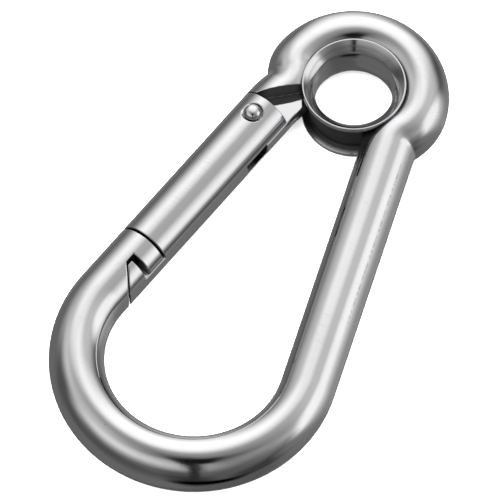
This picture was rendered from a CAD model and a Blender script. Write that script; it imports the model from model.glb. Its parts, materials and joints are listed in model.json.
"""Looks of the spring snap hook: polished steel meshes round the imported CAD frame.

Lengths in this script are millimetres until a mesh is made, which then is in metres. Most of it
works in the gate's own frame: x points into the hook, y runs along the gate's axis from the
bottom bend towards the eye, and z is the hook's own z.
"""

import json
import math

import bpy
import numpy as np
from mathutils import Matrix, Vector


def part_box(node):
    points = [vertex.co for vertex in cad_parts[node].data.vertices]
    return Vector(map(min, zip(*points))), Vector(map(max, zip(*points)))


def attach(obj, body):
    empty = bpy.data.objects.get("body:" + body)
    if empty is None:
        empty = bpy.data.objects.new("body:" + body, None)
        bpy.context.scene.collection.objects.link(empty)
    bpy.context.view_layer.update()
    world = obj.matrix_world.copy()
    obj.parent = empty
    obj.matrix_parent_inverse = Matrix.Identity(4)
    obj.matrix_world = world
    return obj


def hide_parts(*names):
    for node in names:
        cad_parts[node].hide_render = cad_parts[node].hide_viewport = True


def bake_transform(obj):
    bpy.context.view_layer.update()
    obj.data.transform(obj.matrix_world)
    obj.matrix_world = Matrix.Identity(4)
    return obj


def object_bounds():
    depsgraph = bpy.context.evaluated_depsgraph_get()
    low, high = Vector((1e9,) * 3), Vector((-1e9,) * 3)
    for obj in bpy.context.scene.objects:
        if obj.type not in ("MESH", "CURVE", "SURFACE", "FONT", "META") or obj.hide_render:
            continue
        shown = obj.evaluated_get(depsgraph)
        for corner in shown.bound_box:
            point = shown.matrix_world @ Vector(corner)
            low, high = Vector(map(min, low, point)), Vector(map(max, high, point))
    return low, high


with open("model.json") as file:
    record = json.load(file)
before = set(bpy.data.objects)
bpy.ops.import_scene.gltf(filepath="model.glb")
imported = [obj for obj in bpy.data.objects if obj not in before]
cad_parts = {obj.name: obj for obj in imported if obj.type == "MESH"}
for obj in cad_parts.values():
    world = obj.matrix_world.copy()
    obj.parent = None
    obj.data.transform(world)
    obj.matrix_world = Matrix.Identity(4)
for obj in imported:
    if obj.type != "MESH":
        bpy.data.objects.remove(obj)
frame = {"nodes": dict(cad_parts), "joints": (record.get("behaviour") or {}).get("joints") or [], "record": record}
cad_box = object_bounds()

MM = 0.001
FAR = 1e3                      # farther than anything in this scene


# ---------- sizes ----------


def box_mm(node):
    """Lowest and highest corner of a CAD node, in millimetres."""
    low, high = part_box(node)
    return np.array(low) / MM, np.array(high) / MM


joints = {j["name"]: j for j in frame["joints"]}
mounts = {m["name"]: m for m in frame["record"]["mounts"]}

# Read from the frame
bar_r = box_mm("gate")[1][2]
pivot = np.array(joints["gate_hinge"]["pos_m"][:2]) / MM
along = -np.array(joints["plunger_slide"]["axis"][:2])
inward = np.array([along[1], -along[0]])
rim_r, rim_z = box_mm("eyelet")[1][[0, 2]]
throat_r = mounts["eyelet_bore"]["dims"]["r_mm"]
head_top = box_mm("gate_rivet")[1][2]
plunger_r = box_mm("plunger")[1][2]

# The bar's centre line
bend_r = 21
gate_lean = math.degrees(math.asin(along[0]))
spine_lean = 12
spine_len = 50.4
eye_r = 12.2
reverse_r = 5.3
spine_shoulder_r = 8
gate_shoulder_r = 4.4
neck_start = 48.4
neck_r = 14
neck_turn = 13.4

# Closure, lug and hinge, along the gate's axis
gate_start = 12.1
gate_end = 47.1
nose_gap = 0.45
nose_end = gate_start - nose_gap
rivet_x = -0.4
rivet_at = 43.5
rivet_r = 1.25
lug_t = 3
play = 0.1                     # on each side of the lug and of the tooth's web
slot_t = lug_t + 2 * play
lug_r = 2.25
lug_x = rivet_x - lug_r
lug_end = rivet_at - lug_r
neck_gap = 0.15
neck_face = gate_end + neck_gap
wall_far = (4, 55)
trim_start = neck_start + 0.2
lug_gap = 0.35
slot_floor = lug_x - lug_gap
slot_end = 35.6
bore_r = 2.85
bore_end = 22
notch_floor = 0.85
notch_top = 7.85
notch_foot = 5.85
slant = 1.07                   # of the notch's and the tooth's lower sides
tooth_gap = 0.3
tooth_floor = 1.45
tooth_top = 6.65
tooth_foot = notch_foot + tooth_gap - slant * (tooth_floor - notch_floor)
seat_r = 8.2
recess_depth = 0.5
recess_floor = bar_r - recess_depth
head_r = 1.7
head_play = 0.2                # round the rivet's head in its recess
running = 0.05                 # radial play of the rivet in the lug
pressed = 0.04                 # what the pressed pieces stay short of their neighbours
plunger_head = 4.5             # length of the part that fills the bore
edge = 0.16                    # radius that the polisher leaves on an edge
skin = bar_r - 0.02            # keeps the smooth bar inside the CAD model's flat-sided one

origin = pivot - rivet_x * inward - rivet_at * along     # of the gate's frame
eye_x, eye_y = -origin @ inward, -origin @ along         # the eye's centre in that frame
GATE_FRAME = Matrix(
    (
        (inward[0], along[0], 0, origin[0]),
        (inward[1], along[1], 0, origin[1]),
        (0, 0, 1, 0),
        (0, 0, 0, 1),
    )
)


# ---------- shapes as distances ----------
# A shape is a function of x, y and z that gives the distance to its surface, negative inside.


def both(a, b, r=0.0):
    """Where two shapes overlap, with the edge between their surfaces rounded."""
    if r == 0:
        return np.maximum(a, b)
    corner = np.hypot(np.maximum(a + r, 0), np.maximum(b + r, 0))
    return np.minimum(np.maximum(a, b), -r) + corner


def cut(a, b, r=0.0):
    """a with b taken away."""
    return both(a, -b, r)


def outline(x, y, points):
    """Distance to a closed polygon."""
    nearest = FAR
    inside = False
    for (ax, ay), (bx, by) in zip(points, points[1:] + points[:1]):
        ex, ey = bx - ax, by - ay
        t = np.clip(((x - ax) * ex + (y - ay) * ey) / (ex * ex + ey * ey), 0, 1)
        nearest = np.minimum(nearest, np.hypot(x - ax - t * ex, y - ay - t * ey))
        spans = (ay > y) != (by > y)
        if ey != 0:
            inside = inside ^ (spans & (x < ax + (y - ay) * ex / ey))
    return np.where(inside, -nearest, nearest)


def block(x, y, x0, x1, y0, y1):
    """Distance to a rectangle."""
    dx = np.abs(x - (x0 + x1) / 2) - (x1 - x0) / 2
    dy = np.abs(y - (y0 + y1) / 2) - (y1 - y0) / 2
    return np.hypot(np.maximum(dx, 0), np.maximum(dy, 0)) + np.minimum(np.maximum(dx, dy), 0)


# ---------- the bar's centre line ----------


def turned(v, degrees):
    """A plane vector turned to the left."""
    c, s = math.cos(math.radians(degrees)), math.sin(math.radians(degrees))
    return np.array([v[0] * c - v[1] * s, v[0] * s + v[1] * c])


class Walk:
    """A walk along the bar's centre line, kept as straight lines and arcs."""

    def __init__(self, place, heading):
        self.place = np.array(place, float)
        self.heading = np.array(heading, float)
        self.parts = []

    def straight(self, length):
        end = self.place + length * self.heading
        self.parts.append(("line", self.place, end))
        self.place = end
        return self

    def bend(self, radius, degrees):
        """Turns left, or right if the degrees are negative."""
        side = math.copysign(1, degrees)
        centre = self.place + side * radius * turned(self.heading, 90)
        start = self.place - centre
        self.parts.append(("arc", centre, radius, turned(start, degrees / 2), abs(degrees) / 2))
        self.place = centre + turned(start, degrees)
        self.heading = turned(self.heading, degrees)
        return self


def distance_to(parts, x, y):
    """Distance in the plane to a walk."""
    nearest = FAR
    for kind, *shape in parts:
        if kind == "line":
            (ax, ay), (bx, by) = shape
            ex, ey = bx - ax, by - ay
            t = np.clip(((x - ax) * ex + (y - ay) * ey) / (ex * ex + ey * ey), 0, 1)
            nearest = np.minimum(nearest, np.hypot(x - ax - t * ex, y - ay - t * ey))
        else:
            (cx, cy), radius, middle, half = shape
            away = np.arctan2((y - cy) * middle[0] - (x - cx) * middle[1],
                              (x - cx) * middle[0] + (y - cy) * middle[1])
            away = np.clip(away, -math.radians(half), math.radians(half))
            direction = math.atan2(middle[1], middle[0]) + away
            px, py = cx + radius * np.cos(direction), cy + radius * np.sin(direction)
            nearest = np.minimum(nearest, np.hypot(x - px, y - py))
    return nearest


def leg(reverse_centre, shoulder_r):
    """Where the eye's own arc gives way to a shoulder, and where the shoulder's bend reverses."""
    d = math.hypot(*reverse_centre)
    a, b = eye_r - shoulder_r, reverse_r + shoulder_r
    aside = math.degrees(math.acos((d * d + a * a - b * b) / (2 * d * a)))
    to = math.degrees(math.atan2(reverse_centre[1], reverse_centre[0])) + aside
    across = reverse_centre - a * turned((1, 0), to)
    return to, math.degrees(math.atan2(across[1], across[0]))


def centre_line():
    """The bar's centre line, from inside the gap at the nose round to inside the gap at the lug."""
    total = gate_lean + spine_lean
    spine_way, spine_out = turned((0, 1), total), turned((1, 0), total)
    foot = np.array([bend_r, 0]) + bend_r * spine_out - (eye_x, eye_y)
    spine_centre = np.array([foot @ spine_out + reverse_r, foot @ spine_way + spine_len])
    neck_way = math.radians(neck_turn)
    gate_centre = np.array(
        [
            eye_x - neck_r + (neck_r + reverse_r) * math.cos(neck_way),
            neck_start - eye_y + (neck_r + reverse_r) * math.sin(neck_way),
        ]
    )
    spine_eye, spine_cross = leg(spine_centre, spine_shoulder_r)
    gate_eye, gate_cross = leg(gate_centre, gate_shoulder_r)
    walk = Walk((0, gate_start + bar_r), (0, -1))
    walk.straight(gate_start + bar_r)
    walk.bend(bend_r, 180 + total)
    walk.straight(spine_len)
    walk.bend(reverse_r, spine_cross)
    walk.bend(spine_shoulder_r, spine_eye - spine_cross)
    walk.bend(eye_r, 180 - total - spine_eye - gate_eye)
    walk.bend(gate_shoulder_r, gate_eye - gate_cross)
    walk.bend(reverse_r, gate_cross - neck_turn)
    walk.bend(neck_r, neck_turn)
    walk.straight(neck_start - lug_end + bar_r)
    return walk.parts


bar = centre_line()


def hook_shape(x, y, z):
    """The bent bar, with its nose, its lug and the seat for the eyelet."""
    high = np.abs(z)
    side = 2 * bar_r               # how far the cuts reach to each side
    shape = np.hypot(distance_to(bar, x, y), z) - skin

    # The gap that the gate fills
    clear = bar_r + 3
    gap = block(x, y, -clear, clear, nose_end, lug_end)
    shape = cut(shape, gap, edge)

    # Beside the lug the bar is cut away, up to the neck's face and a slanting wall
    below = lug_end - 1            # inside the gap, where nothing is left to cut
    beside = outline(x, y, [(-side, below), (-side, neck_face), (lug_x, neck_face), wall_far,
                            (side, wall_far[1]), (side, below)])
    shape = cut(shape, both(beside, lug_t / 2 - high), edge)

    # The lug's outer edge is straight, and round about the rivet; its inner edge is straight
    corner = [(rivet_x + lug_r * math.cos(a), rivet_at + lug_r * math.sin(a))
              for a in np.linspace(math.pi, 1.5 * math.pi, 13)]
    outside = outline(x, y, [(-side, neck_face), (lug_x, neck_face), *corner,
                             (rivet_x, below), (-side, below)])
    shape = cut(shape, outside, edge)
    shape = cut(shape, block(x, y, bar_r, side, trim_start, wall_far[1]), edge)

    # The notch for the gate's tooth, and the slot for the web behind it
    tip = notch_foot - slant * (side - notch_floor)
    notch = outline(x, y, [(notch_floor, notch_top), (notch_floor, notch_foot), (side, tip),
                           (side, notch_top)])
    web_slot = both(block(x, y, notch_floor, side, notch_top - 1, gate_start), high - slot_t / 2)
    shape = cut(shape, np.minimum(notch, web_slot), edge)

    # The rivet's hole and the eyelet's seat
    shape = cut(shape, np.hypot(x - rivet_x, y - rivet_at) - rivet_r - running, edge)
    return cut(shape, np.hypot(x - eye_x, y - eye_y) - seat_r, edge)


def gate_shape(x, y, z):
    """The gate, with its tooth, slot, bore and rivet holes."""
    high = np.abs(z)
    side = 2 * bar_r               # how far the cuts reach to each side
    round_bar = np.hypot(x, z) - skin
    between_ends = np.abs(y - (gate_start + gate_end) / 2) - (gate_end - gate_start) / 2
    shape = both(round_bar, between_ends, edge)

    # The T-shaped tooth: its crossbar, and the web that carries it
    tip = tooth_foot - slant * (side - tooth_floor)
    tooth = outline(x, y, [(tooth_floor, tooth_top), (tooth_floor, tooth_foot), (side, tip),
                           (side, tooth_top)])
    web = block(x, y, tooth_floor, side, tooth_top - 1, gate_start + 1)
    web = both(web, high - lug_t / 2, edge)
    shape = np.minimum(shape, both(np.minimum(tooth, web), round_bar, edge))

    # The slot for the lug, and the bore for the spring and the plunger
    slot = both(block(x, y, slot_floor, side, slot_end, gate_end + side), high - slot_t / 2)
    shape = cut(shape, slot, edge)
    bore = both(np.hypot(x, z) - bore_r, bore_end - y)
    shape = cut(shape, bore, edge)

    # The rivet's hole, and the recess for each of its heads
    from_rivet = np.hypot(x - rivet_x, y - rivet_at)
    shape = cut(shape, from_rivet - rivet_r)
    return cut(shape, both(from_rivet - head_r - head_play, recess_floor - high), edge)


# ---------- meshes ----------


def grid(*stretches):
    """Places along one axis, from stretches of (start, end, step)."""
    places = [np.linspace(a, b, round((b - a) / step), endpoint=False)
              for a, b, step in stretches]
    return np.concatenate([*places, [stretches[-1][1]]])


def slope(shape, points, reach=0.01):
    """The shape's gradient at some points."""
    axes = []
    for axis in range(3):
        ahead, behind = points.copy(), points.copy()
        ahead[:, axis] += reach
        behind[:, axis] -= reach
        axes.append((shape(*ahead.T) - shape(*behind.T)) / (2 * reach))
    return np.stack(axes, 1)


def surface(shape, xs, ys, zs):
    """Corners, four-sided faces and normals of a shape's surface, sampled on a grid."""
    value = shape(xs[:, None, None], ys[None, :, None], zs[None, None, :])
    value = np.broadcast_to(value, (len(xs), len(ys), len(zs)))
    inside = value < 0

    # One point in each grid cell that the surface passes through
    corners = [(i, j, k) for i in (0, 1) for j in (0, 1) for k in (0, 1)]
    nx, ny, nz = (n - 1 for n in inside.shape)
    count = sum(inside[i : i + nx, j : j + ny, k : k + nz].astype(np.int8)
                for i, j, k in corners)
    cells = np.argwhere((count > 0) & (count < 8))
    total = np.zeros((len(cells), 3))
    crossings = np.zeros(len(cells))
    places = (xs, ys, zs)
    for start in corners:
        for axis in range(3):
            if start[axis]:
                continue
            end = tuple(1 if n == axis else start[n] for n in range(3))
            a, b = value[tuple((cells + start).T)], value[tuple((cells + end).T)]
            crosses = (a < 0) != (b < 0)
            share = np.where(crosses, a / np.where(crosses, a - b, 1), 0)
            for n in range(3):
                low = places[n][cells[:, n] + start[n]]
                high = places[n][cells[:, n] + end[n]]
                total[:, n] += crosses * (low + share * (high - low))
            crossings += crosses
    points = total / crossings[:, None]

    # A few steps downhill put the points exactly on the surface
    longest = 0.2
    for _ in range(4):
        gradient = slope(shape, points)
        step = shape(*points.T) / np.maximum((gradient**2).sum(1), 0.2)
        points = points - np.clip(step, -longest, longest)[:, None] * gradient

    # One face round each grid edge that the surface crosses
    number = np.full((nx, ny, nz), -1, np.int64)
    number[tuple(cells.T)] = np.arange(len(cells))
    faces = []
    for axis in range(3):
        b, c = (axis + 1) % 3, (axis + 2) % 3
        low = [slice(None)] * 3
        high = [slice(None)] * 3
        low[axis], high[axis] = slice(0, -1), slice(1, None)
        here, there = inside[tuple(low)], inside[tuple(high)]
        edges = np.argwhere(here != there)
        leaves = here[tuple(edges.T)]
        ring = []
        for db, dc in ((-1, -1), (0, -1), (0, 0), (-1, 0)):
            cell = edges.copy()
            cell[:, b] += db
            cell[:, c] += dc
            ring.append(number[tuple(cell.T)])
        ring = np.stack(ring, 1)
        faces.append(np.where(leaves[:, None], ring, ring[:, ::-1]))
    normals = slope(shape, points)
    return points, np.concatenate(faces), normals / np.linalg.norm(normals, axis=1)[:, None]


def mesh_piece(name, points, faces, place=Matrix.Identity(4), normals=None, sharp=None):
    """A smooth mesh object from points in millimetres, which a matrix in millimetres places.

    Normals are given for each point, or else edges sharper than some degrees stay sharp.
    """
    turn, shift = np.array(place)[:3, :3], np.array(place)[:3, 3]
    mesh = bpy.data.meshes.new(name)
    mesh.from_pydata((points @ turn.T + shift) * MM, [], faces)
    mesh.validate()
    mesh.shade_smooth()
    if normals is not None:
        mesh.normals_split_custom_set_from_vertices(normals @ turn.T)
    if sharp is not None:
        mesh.set_sharp_from_angle(angle=math.radians(sharp))
    piece = bpy.data.objects.new(name, mesh)
    bpy.context.scene.collection.objects.link(piece)
    return piece


def surface_piece(name, shape, xs, ys, zs):
    """A mesh object of a shape in the gate's frame."""
    points, faces, normals = surface(shape, xs, ys, zs)
    return mesh_piece(name, points, faces.tolist(), GATE_FRAME, normals)


def lathe(name, profile, sides=160, closed=True, place=Matrix.Identity(4)):
    """A profile of (radius, height) turned about z. It runs upwards on its outer side."""
    angles = np.arange(sides) * 2 * math.pi / sides
    points = np.concatenate([
        np.stack([r * np.cos(angles), r * np.sin(angles), np.full(sides, h)], 1)
        for r, h in profile
    ])
    count = len(profile)
    faces = []
    for i in range(count if closed else count - 1):
        for k in range(sides):
            n = (k + 1) % sides
            j = (i + 1) % count
            faces.append((i * sides + k, i * sides + n, j * sides + n, j * sides + k))
    if not closed:
        faces.append(tuple(range(sides))[::-1])
        faces.append(tuple((count - 1) * sides + k for k in range(sides)))
    return mesh_piece(name, points, faces, place, sharp=30)


def rounded(points, radii):
    """A closed profile with its corners rounded, each by its own radius."""
    made = []
    count = len(points)
    for i in range(count):
        here, radius = np.array(points[i], float), radii[i]
        before = np.array(points[i - 1], float) - here
        after = np.array(points[(i + 1) % count], float) - here
        before, after = before / np.linalg.norm(before), after / np.linalg.norm(after)
        half = math.acos(max(-1, min(1, before @ after))) / 2
        nearly_straight = math.radians(89)
        if radius == 0 or half > nearly_straight:
            made.append(tuple(here))
            continue
        away = (before + after) / np.linalg.norm(before + after)
        centre = here + away * radius / math.sin(half)
        first = here + before * radius / math.tan(half) - centre
        last = here + after * radius / math.tan(half) - centre
        a0 = math.atan2(first[1], first[0])
        sweep = (math.atan2(last[1], last[0]) - a0 + math.pi) % (2 * math.pi) - math.pi
        for a in a0 + sweep * np.linspace(0, 1, 5):
            made.append(tuple(centre + radius * np.array([math.cos(a), math.sin(a)])))
    return made


# ---------- pieces ----------


def gate_frame_box(node, spare=0.6):
    """Lowest and highest corner of a CAD node in the gate's frame, with some room."""
    points = np.array([v.co for v in frame["nodes"][node].data.vertices]) / MM
    turn = np.array(GATE_FRAME)
    points = (points - turn[:3, 3]) @ turn[:3, :3]
    return points.min(0) - spare, points.max(0) + spare


def hook_piece():
    fine, plain, thick = 0.17, 0.55, 0.25       # steps of the grid
    low, high = gate_frame_box("hook_body")
    side = bar_r + 0.8
    xs = grid((low[0], side, fine), (side, high[0], plain))
    nose_from, nose_to = -1, nose_end + 0.6
    lug_from, lug_to = lug_end - 0.6, wall_far[1] + 1
    ys = grid((low[1], nose_from, plain), (nose_from, nose_to, fine), (nose_to, lug_from, plain * 4),
              (lug_from, lug_to, fine), (lug_to, high[1], plain))
    zs = grid((low[2], high[2], thick))
    piece = surface_piece("hook_bar", hook_shape, xs, ys, zs)
    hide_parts("hook_body")
    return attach(piece, "hook")


def gate_piece():
    fine, plain = 0.17, 0.8                     # steps of the grid
    low, high = gate_frame_box("gate")
    xs = grid((low[0], high[0], fine))
    tooth_to, slot_from = gate_start + 0.8, slot_end - 0.8
    floor_from, floor_to = bore_end - 0.5, bore_end + 0.5
    ys = grid((low[1], tooth_to, fine), (tooth_to, floor_from, plain), (floor_from, floor_to, fine),
              (floor_to, slot_from, plain), (slot_from, high[1], fine))
    zs = grid((low[2], high[2], fine))
    piece = surface_piece("gate_bar", gate_shape, xs, ys, zs)
    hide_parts("gate")
    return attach(piece, "gate")


def eyelet_piece():
    land = 0.8                                  # half of the throat's straight length
    lip = 0.3                                   # width of the rim's flat top
    crease = (throat_r + 0.5, 3.5)
    rise, run = crease[1] - land, crease[0] - throat_r
    curve_r = (rise**2 + run**2) / (2 * run)
    sweep = math.asin(rise / curve_r)
    rim_in = (rim_r - lip, rim_z)
    chord = math.atan2(rim_in[1] - crease[1], rim_in[0] - crease[0])
    trumpet = math.radians(4)                   # how far the flare's slope differs from its chord
    flare_r = math.dist(rim_in, crease) / (2 * math.sin(trumpet))
    flare = [(rim_in[0] - flare_r * (math.sin(a) - math.sin(chord - trumpet)),
              rim_in[1] - flare_r * (math.cos(chord - trumpet) - math.cos(a)))
             for a in np.linspace(chord - trumpet, chord + trumpet, 9)]
    seat = [(r, math.sqrt((bar_r + pressed) ** 2 - (eye_r - r) ** 2))
            for r in np.linspace(seat_r, rim_r, 12)]
    outer_lip = [(rim_r, rim_z - 0.2), (rim_r - 0.1, rim_z)]
    throat = [(throat_r + curve_r * (1 - math.cos(a)), land + curve_r * math.sin(a))
              for a in np.linspace(sweep, 0, 12)]
    upper = [*seat, *outer_lip, *flare[:-1], *throat]
    radii = [0] * len(upper)
    first_lip_corner = len(seat) - 1
    crease_corner = len(upper) - len(throat)
    radii[first_lip_corner : first_lip_corner + 4] = [0.06, 0.06, 0.05, 0.05]
    radii[crease_corner] = 0.1
    profile = upper + [(r, -z) for r, z in upper[::-1]]
    piece = lathe("eyelet_tube", rounded(profile, radii + radii[::-1]), sides=256)
    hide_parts("eyelet")
    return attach(piece, "hook")


def rivet_piece():
    head_h = head_top - recess_floor

    # Both heads are domes, flatter on top than a ball
    dome = [(head_r * share, recess_floor + head_h * (1 - share**3) ** 0.6)
            for share in np.sin(np.linspace(0.01, math.pi / 2, 16))]
    upper = [*dome, (rivet_r, recess_floor)]
    profile = upper + [(r, -z) for r, z in upper[::-1]]
    place = Matrix.Translation((*pivot, 0))
    piece = lathe("rivet", profile[::-1], sides=72, closed=False, place=place)
    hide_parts("gate_rivet")
    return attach(piece, "gate")


ON_GATE_AXIS = GATE_FRAME @ Matrix.Rotation(math.radians(-90), 4, "X")     # turns z to the gate's y


def plunger_piece():
    top = lug_end - pressed
    back = top - plunger_head
    stem_len, stem_r, centre_r = 6, 1.6, 0.01
    stem_end = back - stem_len
    profile = [(centre_r, top), (plunger_r, top), (plunger_r, back), (stem_r, back),
               (stem_r, stem_end), (centre_r, stem_end)]
    profile = rounded(profile, [0, 0.4, 0.15, 0.1, 0.35, 0])
    piece = lathe("plunger_pin", profile[::-1], sides=96, closed=False, place=ON_GATE_AXIS)
    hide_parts("plunger")
    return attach(piece, "plunger")


def spring_piece():
    turns, sides, per_turn = 9, 14, 40
    wire_r, coil_r = 0.35, 2.3
    seat_gap = 0.03
    plunger_back = lug_end - pressed - plunger_head
    low, high = bore_end + seat_gap + wire_r, plunger_back - seat_gap - wire_r
    share = np.linspace(0, 1, turns * per_turn + 1)
    angle = 2 * math.pi * turns * share
    closed = wire_r * 2.02 * turns * share                      # height if all coils touched
    open_part = np.clip((share * turns - 1) / (turns - 2), 0, 1)
    height = low + closed + (high - low - closed[-1]) * open_part**2 * (3 - 2 * open_part)
    middle = np.stack([coil_r * np.cos(angle), height, coil_r * np.sin(angle)], 1)
    outward = np.stack([np.cos(angle), 0 * angle, np.sin(angle)], 1)
    heading = np.gradient(middle, axis=0)
    heading /= np.linalg.norm(heading, axis=1)[:, None]
    upward = np.cross(heading, outward)
    around = (np.arange(sides) * 2 * math.pi / sides)[None, :, None]
    ring = outward[:, None] * np.cos(around) + upward[:, None] * np.sin(around)
    points = (middle[:, None] + wire_r * ring).reshape(-1, 3)
    last = len(share) - 1
    faces = [(i + k, i + (k + 1) % sides, i + sides + (k + 1) % sides, i + sides + k)
             for i in range(0, last * sides, sides) for k in range(sides)]
    faces.append(tuple(range(sides))[::-1])
    faces.append(tuple(last * sides + k for k in range(sides)))
    piece = mesh_piece("coil_spring", points, faces, GATE_FRAME, sharp=50)
    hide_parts("gate_spring")
    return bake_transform(piece)


pieces = {
    "hook": hook_piece(),
    "gate": gate_piece(),
    "eyelet": eyelet_piece(),
    "rivet": rivet_piece(),
    "plunger": plunger_piece(),
    "spring": spring_piece(),
}


# ---------- materials ----------


class Nodes:
    """Adds nodes to a node tree."""

    def __init__(self, tree):
        self.tree = tree

    def add(self, kind, *values, out=0, **settings):
        """A node's output. Values fill its inputs in order, as constants or other outputs."""
        node = self.tree.nodes.new(kind)
        for key, setting in settings.items():
            setattr(node, key, setting)
        for socket, value in zip(node.inputs, values):
            if isinstance(value, bpy.types.NodeSocket):
                self.tree.links.new(value, socket)
            elif value is not None:
                socket.default_value = value
        return node.outputs[out]

    def math(self, operation, *values):
        return self.add("ShaderNodeMath", *values, operation=operation)

    def vector(self, operation, *values):
        return self.add("ShaderNodeVectorMath", *values, operation=operation, out="Vector")

    def scaled(self, vector, factor):
        return self.vector("SCALE", vector, None, None, factor)

    def dot(self, a, b):
        return self.add("ShaderNodeVectorMath", a, b, operation="DOT_PRODUCT", out="Value")

    def length(self, vector):
        return self.add("ShaderNodeVectorMath", vector, operation="LENGTH", out="Value")

    def z_of(self, vector):
        return self.add("ShaderNodeSeparateXYZ", vector, out="Z")

    def fade(self, value, start, end, low=0.0, high=1.0):
        """Goes smoothly from low to high while the value goes from start to end."""
        return self.add("ShaderNodeMapRange", value, start, end, low, high,
                        interpolation_type="SMOOTHSTEP")

    def line(self, distance, sharp, soft):
        """1 within a distance on both sides, and fading out."""
        return self.fade(self.math("ABSOLUTE", distance), sharp, soft, 1.0, 0.0)

    def texture(self, kind, place, scale):
        node = self.tree.nodes.new(kind)
        self.tree.links.new(place, node.inputs["Vector"])
        node.inputs["Scale"].default_value = scale
        return node

    def noise(self, place, scale, detail):
        node = self.texture("ShaderNodeTexNoise", place, scale)
        node.inputs["Detail"].default_value = detail
        return node.outputs[0]

    def scratches(self, place, seed, turn, share):
        """Fine straight scratches along one direction, on a share of the surface."""
        along_it, across_it = 0.12, 6.0
        shift = (seed, 2 * seed, -seed)
        stretched = self.add("ShaderNodeMapping", place, shift, turn,
                             (along_it, across_it, across_it))
        return self.fade(self.noise(stretched, 1.0, 1.0), 0.78 - share, 0.84 - share)

    def pits(self, place, share):
        """Small round pits in a share of a Voronoi texture's cells."""
        scale, size = 0.7, 0.12
        node = self.texture("ShaderNodeTexVoronoi", place, scale)
        pit = self.fade(node.outputs["Distance"], size * scale, 0.5 * size * scale)
        chosen = self.math("GREATER_THAN", node.outputs["Color"], 1 - share)
        return self.math("MULTIPLY", pit, chosen)

    def crevice(self, reach):
        """1 in the creases where polish doesn't reach and grime stays."""
        node = self.tree.nodes.new("ShaderNodeAmbientOcclusion")
        node.samples = 6
        node.inputs["Distance"].default_value = reach
        return self.fade(node.outputs["AO"], 0.3, 0.8, 1.0, 0.0)

    def rings(self, spot, axis, pitch):
        """Fine tool marks round an axis, from noise that varies along it and with radius."""
        up = self.dot(spot, axis)
        radius = self.length(self.vector("SUBTRACT", spot, self.scaled(axis, up)))
        here = self.add("ShaderNodeCombineXYZ", up, radius)
        return self.fade(self.noise(here, 1 / pitch, 3.0), 0.5, 0.75, 0.0, 0.7)


SCRATCHES = (                  # direction, share and change of seed
    ((0.3, 0.2, 1.9), 0.1, 0),
    ((1.1, 0.4, 0.6), 0.08, 3),
    ((0.2, 1.3, 2.7), 0.08, 3),
)


def steel(name, colour, roughness, seed=0.0, marks=None, pit_share=0.08, dull=None):
    """Polished steel with smudges, fine scratches, small pits, and grime in its creases.

    Marks adds lines of wear, and dull says where polish doesn't reach. Both get the place on
    the piece in millimetres.
    """
    material = bpy.data.materials.new(name)
    material.use_nodes = True
    nodes = Nodes(material.node_tree)
    shader = material.node_tree.nodes["Principled BSDF"]
    link = material.node_tree.links.new
    spot = nodes.scaled(nodes.add("ShaderNodeTexCoord", out="Object"), 1 / MM)
    place = nodes.vector("ADD", spot, (seed, seed / 2, 0))
    smudge = nodes.noise(place, 0.11, 4.0)
    haze = nodes.noise(place, 1.7, 3.0)

    scratch = 0.0
    for turn, share, more in SCRATCHES:
        scratch = nodes.math("MAXIMUM", scratch, nodes.scratches(place, seed + more, turn, share))
    wear = nodes.math("MULTIPLY", scratch, nodes.fade(smudge, 0.35, 0.65, 0.1, 0.35))
    if marks is not None:
        wear = nodes.math("MAXIMUM", wear, marks(nodes, spot))
    pits = nodes.pits(place, pit_share)
    grime = nodes.crevice(2.2 * MM)
    if dull is not None:
        grime = nodes.math("MAXIMUM", grime, dull(nodes, spot))
    dark = nodes.math("MAXIMUM", pits, grime)

    rough = nodes.fade(smudge, 0.3, 0.7, roughness - 0.02, roughness + 0.025)
    rough = nodes.math("ADD", rough, nodes.fade(haze, 0.3, 0.7, -0.012, 0.012))
    rough = nodes.math("MULTIPLY_ADD", wear, 0.16, rough)
    rough = nodes.math("MULTIPLY_ADD", dark, 0.3, rough)
    link(rough, shader.inputs["Roughness"])

    tone = nodes.fade(smudge, 0.3, 0.7, 1.02, 0.97)
    tone = nodes.math("MULTIPLY_ADD", wear, -0.3, tone)
    tone = nodes.math("MULTIPLY_ADD", dark, -0.8, tone)
    tone = nodes.math("MAXIMUM", tone, 0.05)
    link(nodes.scaled(colour, tone), shader.inputs["Base Color"])
    shader.inputs["Metallic"].default_value = 1

    relief = nodes.math("MULTIPLY", haze, 0.6)
    relief = nodes.math("MULTIPLY_ADD", nodes.math("ADD", pits, wear), -1.0, relief)
    bump = material.node_tree.nodes.new("ShaderNodeBump")
    bump.inputs["Strength"].default_value = 1
    bump.inputs["Distance"].default_value = 0.004 * MM
    link(relief, bump.inputs["Height"])
    link(bump.outputs[0], shader.inputs["Normal"])
    return material


def flat(vector):
    """A plane vector as one in space."""
    return (*vector, 0)


def hook_marks(nodes, spot):
    """The faint broken line that the forming die left along the spine."""
    outward, upward = turned((1, 0), spine_lean), turned((0, 1), spine_lean)
    round_the_bar = math.radians(45.5)
    line_at = (origin + bend_r * inward) @ outward + bend_r + bar_r * math.sin(round_the_bar)
    line = nodes.line(nodes.math("SUBTRACT", nodes.dot(spot, flat(outward)), line_at), 0.05, 0.16)
    down = nodes.dot(spot, flat(-upward))
    ends = nodes.math("MULTIPLY", nodes.fade(down, 11, 14), nodes.fade(down, 42, 50, 1.0, 0.0))
    broken = nodes.noise(nodes.add("ShaderNodeCombineXYZ", down), 0.9, 3.0)
    upper = nodes.fade(nodes.z_of(spot), 1.0, 2.0)
    there = nodes.math("MULTIPLY", nodes.fade(broken, 0.42, 0.55), upper)
    return nodes.math("MULTIPLY", nodes.math("MULTIPLY", line, ends), there)


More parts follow.
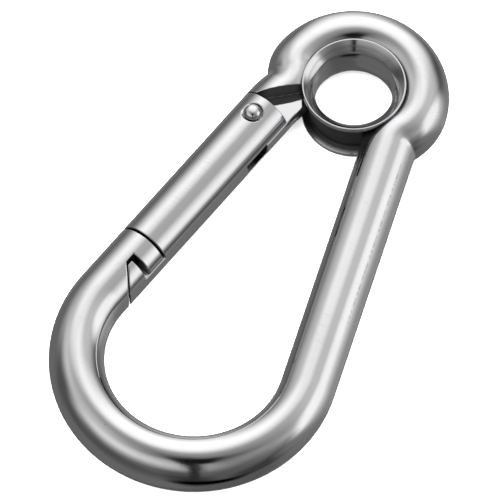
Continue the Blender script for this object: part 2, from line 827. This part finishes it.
def hook_wall(nodes, spot):
    """The slanting wall beside the lug is milled and stays dark."""
    run, rise = wall_far[0] - lug_x, wall_far[1] - neck_face
    facing = (rise * inward - run * along) / math.hypot(run, rise)
    start = origin + lug_x * inward + neck_face * along
    from_start = nodes.vector("SUBTRACT", spot, flat(start))
    on_wall = nodes.line(nodes.dot(from_start, flat(facing)), 0.02, 0.12)
    way = nodes.dot(from_start, flat(along))
    beside = nodes.math("MULTIPLY", nodes.fade(way, -0.2, 0), nodes.fade(way, rise, rise + 0.5, 1, 0))
    return nodes.math("MULTIPLY", nodes.math("MULTIPLY", on_wall, beside), 0.95)


def eyelet_marks(nodes, spot):
    return nodes.rings(spot, (0, 0, 1), 0.25)


def eyelet_waist(nodes, spot):
    """The outside of the tube, between its rims, stays dark."""
    radius = nodes.length(nodes.vector("MULTIPLY", spot, (1, 1, 0)))
    outside = nodes.fade(radius, seat_r - 0.2, seat_r - 0.05)
    height = nodes.math("ABSOLUTE", nodes.z_of(spot))
    return nodes.math("MULTIPLY", outside, nodes.fade(height, rim_z - 1.6, rim_z - 0.5, 0.95, 0.0))


def plunger_marks(nodes, spot):
    return nodes.rings(nodes.vector("SUBTRACT", spot, flat(origin)), flat(along), 0.2)


def wire_marks(nodes, spot):
    return nodes.fade(nodes.noise(spot, 2.5, 4.0), 0.45, 0.7, 0.0, 0.8)


def grey(level, blue=0.01):
    """A steel colour, a little bluer than grey."""
    return (level, level, level + blue)


finishes = {
    "hook": ("polished_bar", steel("bar_steel", grey(0.80), 0.055, 0, hook_marks, 0.08, hook_wall)),
    "gate": ("polished_gate", steel("gate_steel", grey(0.80), 0.05, 37)),
    "eyelet": ("polished_eyelet",
               steel("eyelet_steel", grey(0.76), 0.07, 11, eyelet_marks, 0.12, eyelet_waist)),
    "rivet": ("polished_rivet", steel("rivet_steel", grey(0.78), 0.07, 53, None, 0.15)),
    "plunger": ("turned_steel", steel("plunger_steel", grey(0.66), 0.2, 5, plunger_marks)),
    "spring": ("spring_wire", steel("wire_steel", grey(0.55, 0.02), 0.26, 19, wire_marks, 0.2)),
}
for key, (slot, material) in finishes.items():
    pieces[key].data.materials.append(material)


# ---------- stage ----------


CAMERA_AZIMUTH = 28.8          # degrees
CAMERA_ELEVATION = 62
VIEW_WIDTH = 0.0899            # metres, at the hook
AIM = (-0.01867, -0.02739)     # metres right and up, from the eye's centre


def make_floor():
    floor_z = cad_box[0].z
    half = 3.0
    corners = [(x, y, floor_z) for x, y in ((-half, -half), (half, -half), (half, half), (-half, half))]
    mesh = bpy.data.meshes.new("floor")
    mesh.from_pydata(corners, [], [(0, 1, 2, 3)])
    floor = bpy.data.objects.new("floor", mesh)
    bpy.context.scene.collection.objects.link(floor)
    material = bpy.data.materials.new("pale_floor")
    material.use_nodes = True
    shader = material.node_tree.nodes["Principled BSDF"]
    shader.inputs["Base Color"].default_value = (0.9, 0.9, 0.9, 1)
    shader.inputs["Roughness"].default_value = 0.9
    mesh.materials.append(material)
    floor.visible_glossy = False


def make_camera():
    azimuth, elevation = math.radians(CAMERA_AZIMUTH), math.radians(CAMERA_ELEVATION)
    lens, sensor = 1000, 36
    right = Vector((math.cos(azimuth), math.sin(azimuth), 0))
    back = Vector((math.sin(azimuth) * math.cos(elevation), -math.cos(azimuth) * math.cos(elevation),
                   math.sin(elevation)))
    up = back.cross(right)
    distance = VIEW_WIDTH * lens / sensor
    data = bpy.data.cameras.new("camera")
    data.lens, data.sensor_width, data.clip_end = lens, sensor, 20
    camera = bpy.data.objects.new("camera", data)
    camera.location = right * AIM[0] + up * AIM[1] + back * distance
    camera.rotation_mode = "QUATERNION"
    camera.rotation_quaternion = (-back).to_track_quat("-Z", "Y")
    bpy.context.scene.collection.objects.link(camera)
    bpy.context.scene.camera = camera


# The studio is a light tent round the hook, seen in its reflections. Directions are in degrees:
# azimuth from the side away from the camera, positive to its right, and elevation.
TENT_BELOW, TENT_ABOVE = 0.152, 0.641
TENT_START, TENT_FULL = -0.11, 0.745       # sine of the elevation where the tent's wall brightens
# azimuth, elevation, half width, half height, softness, roll, brightness
CARDS = {
    "back softbox": (9, 17, 22, 48, 0.93, 10, 1.4),
    "right softbox": (97, -24, 28, 70, 0.41, 10, 1.12),
    "left softbox": (-157, 54, 32, 33, 0.88, 9, 1.5),
    "front opening": (181, -10, 29, 11, 0.99, 75, 0.0),
    "camera hole": (167, 76, 21, 34, 1.27, -47, 0.0),
    "slit over the camera": (182, 56, 4.3, 25, 0.95, -8, 0.0),
    "left dark card": (-80, 8, 25, 15, 0.8, 59, 0.09),
    "back corner": (36, -14, 28, 21, 1.5, -3, 0.0),
    "front wall": (-167, 20, 70, 30, 1.5, -8, 0.06),
    "right corner": (124, -32, 29, 41, 0.32, -23, 0.05),
    "table edge": (115, -73, 48, 28, 0.15, 63, 0.11),
    "table": (60, -38, 70, 24, 1.5, 21, 0.255),
    "lens": (177, 72, 7, 10, 0.5, 0, 0.01),
    "slit under the camera": (180, 15, 3, 45, 0.5, 0, 0.03),
    "black below the opening": (172, -25, 20, 9, 0.45, 8, 0.0),
}


def card_axes(azimuth, elevation, roll):
    """A card's direction, its sideways axis and its upward axis."""
    turn = Matrix.Rotation(math.radians(CAMERA_AZIMUTH - azimuth), 3, "Z")
    turn = turn @ Matrix.Rotation(math.radians(elevation), 3, "X")
    turn = turn @ Matrix.Rotation(math.radians(-roll), 3, "Y")
    return turn.col[1], turn.col[0], turn.col[2]


def make_world():
    world = bpy.data.worlds.new("studio")
    world.use_nodes = True
    nodes = Nodes(world.node_tree)
    way = nodes.add("ShaderNodeTexCoord", out="Generated")
    light = nodes.fade(nodes.z_of(way), TENT_START, TENT_FULL, TENT_BELOW, TENT_ABOVE)
    for azimuth, elevation, half_w, half_h, soft, roll, level in CARDS.values():
        axis, side, up = card_axes(azimuth, elevation, roll)
        ahead = nodes.dot(way, axis)
        depth = nodes.math("MAXIMUM", ahead, 0.001)
        reach = []
        for direction, half in ((side, half_w), (up, half_h)):
            offset = nodes.dot(way, direction / math.tan(math.radians(half)))
            reach.append(nodes.math("POWER", nodes.math("DIVIDE", offset, depth), 4.0))
        edge_at = nodes.math("POWER", nodes.math("ADD", *reach), 0.25)
        share = nodes.fade(edge_at, 1 - soft, 1 + soft, 1.0, 0.0)
        share = nodes.math("MULTIPLY", share, nodes.math("GREATER_THAN", ahead, 0.0))
        light = nodes.add("ShaderNodeMix", share, None, light, level)
    background = world.node_tree.nodes["Background"]
    world.node_tree.links.new(light, background.inputs["Color"])
    bpy.context.scene.world = world
    bpy.context.scene.view_settings.view_transform = "Standard"


def make_floor_light():
    """A wide soft lamp that the steel doesn't reflect, so that it only brightens the floor."""
    data = bpy.data.lights.new("floor_light", "SUN")
    data.angle = math.radians(120)
    data.energy = 14
    lamp = bpy.data.objects.new("floor_light", data)
    lamp.visible_glossy = False
    bpy.context.scene.collection.objects.link(lamp)


make_floor()
make_camera()
make_world()
make_floor_light()
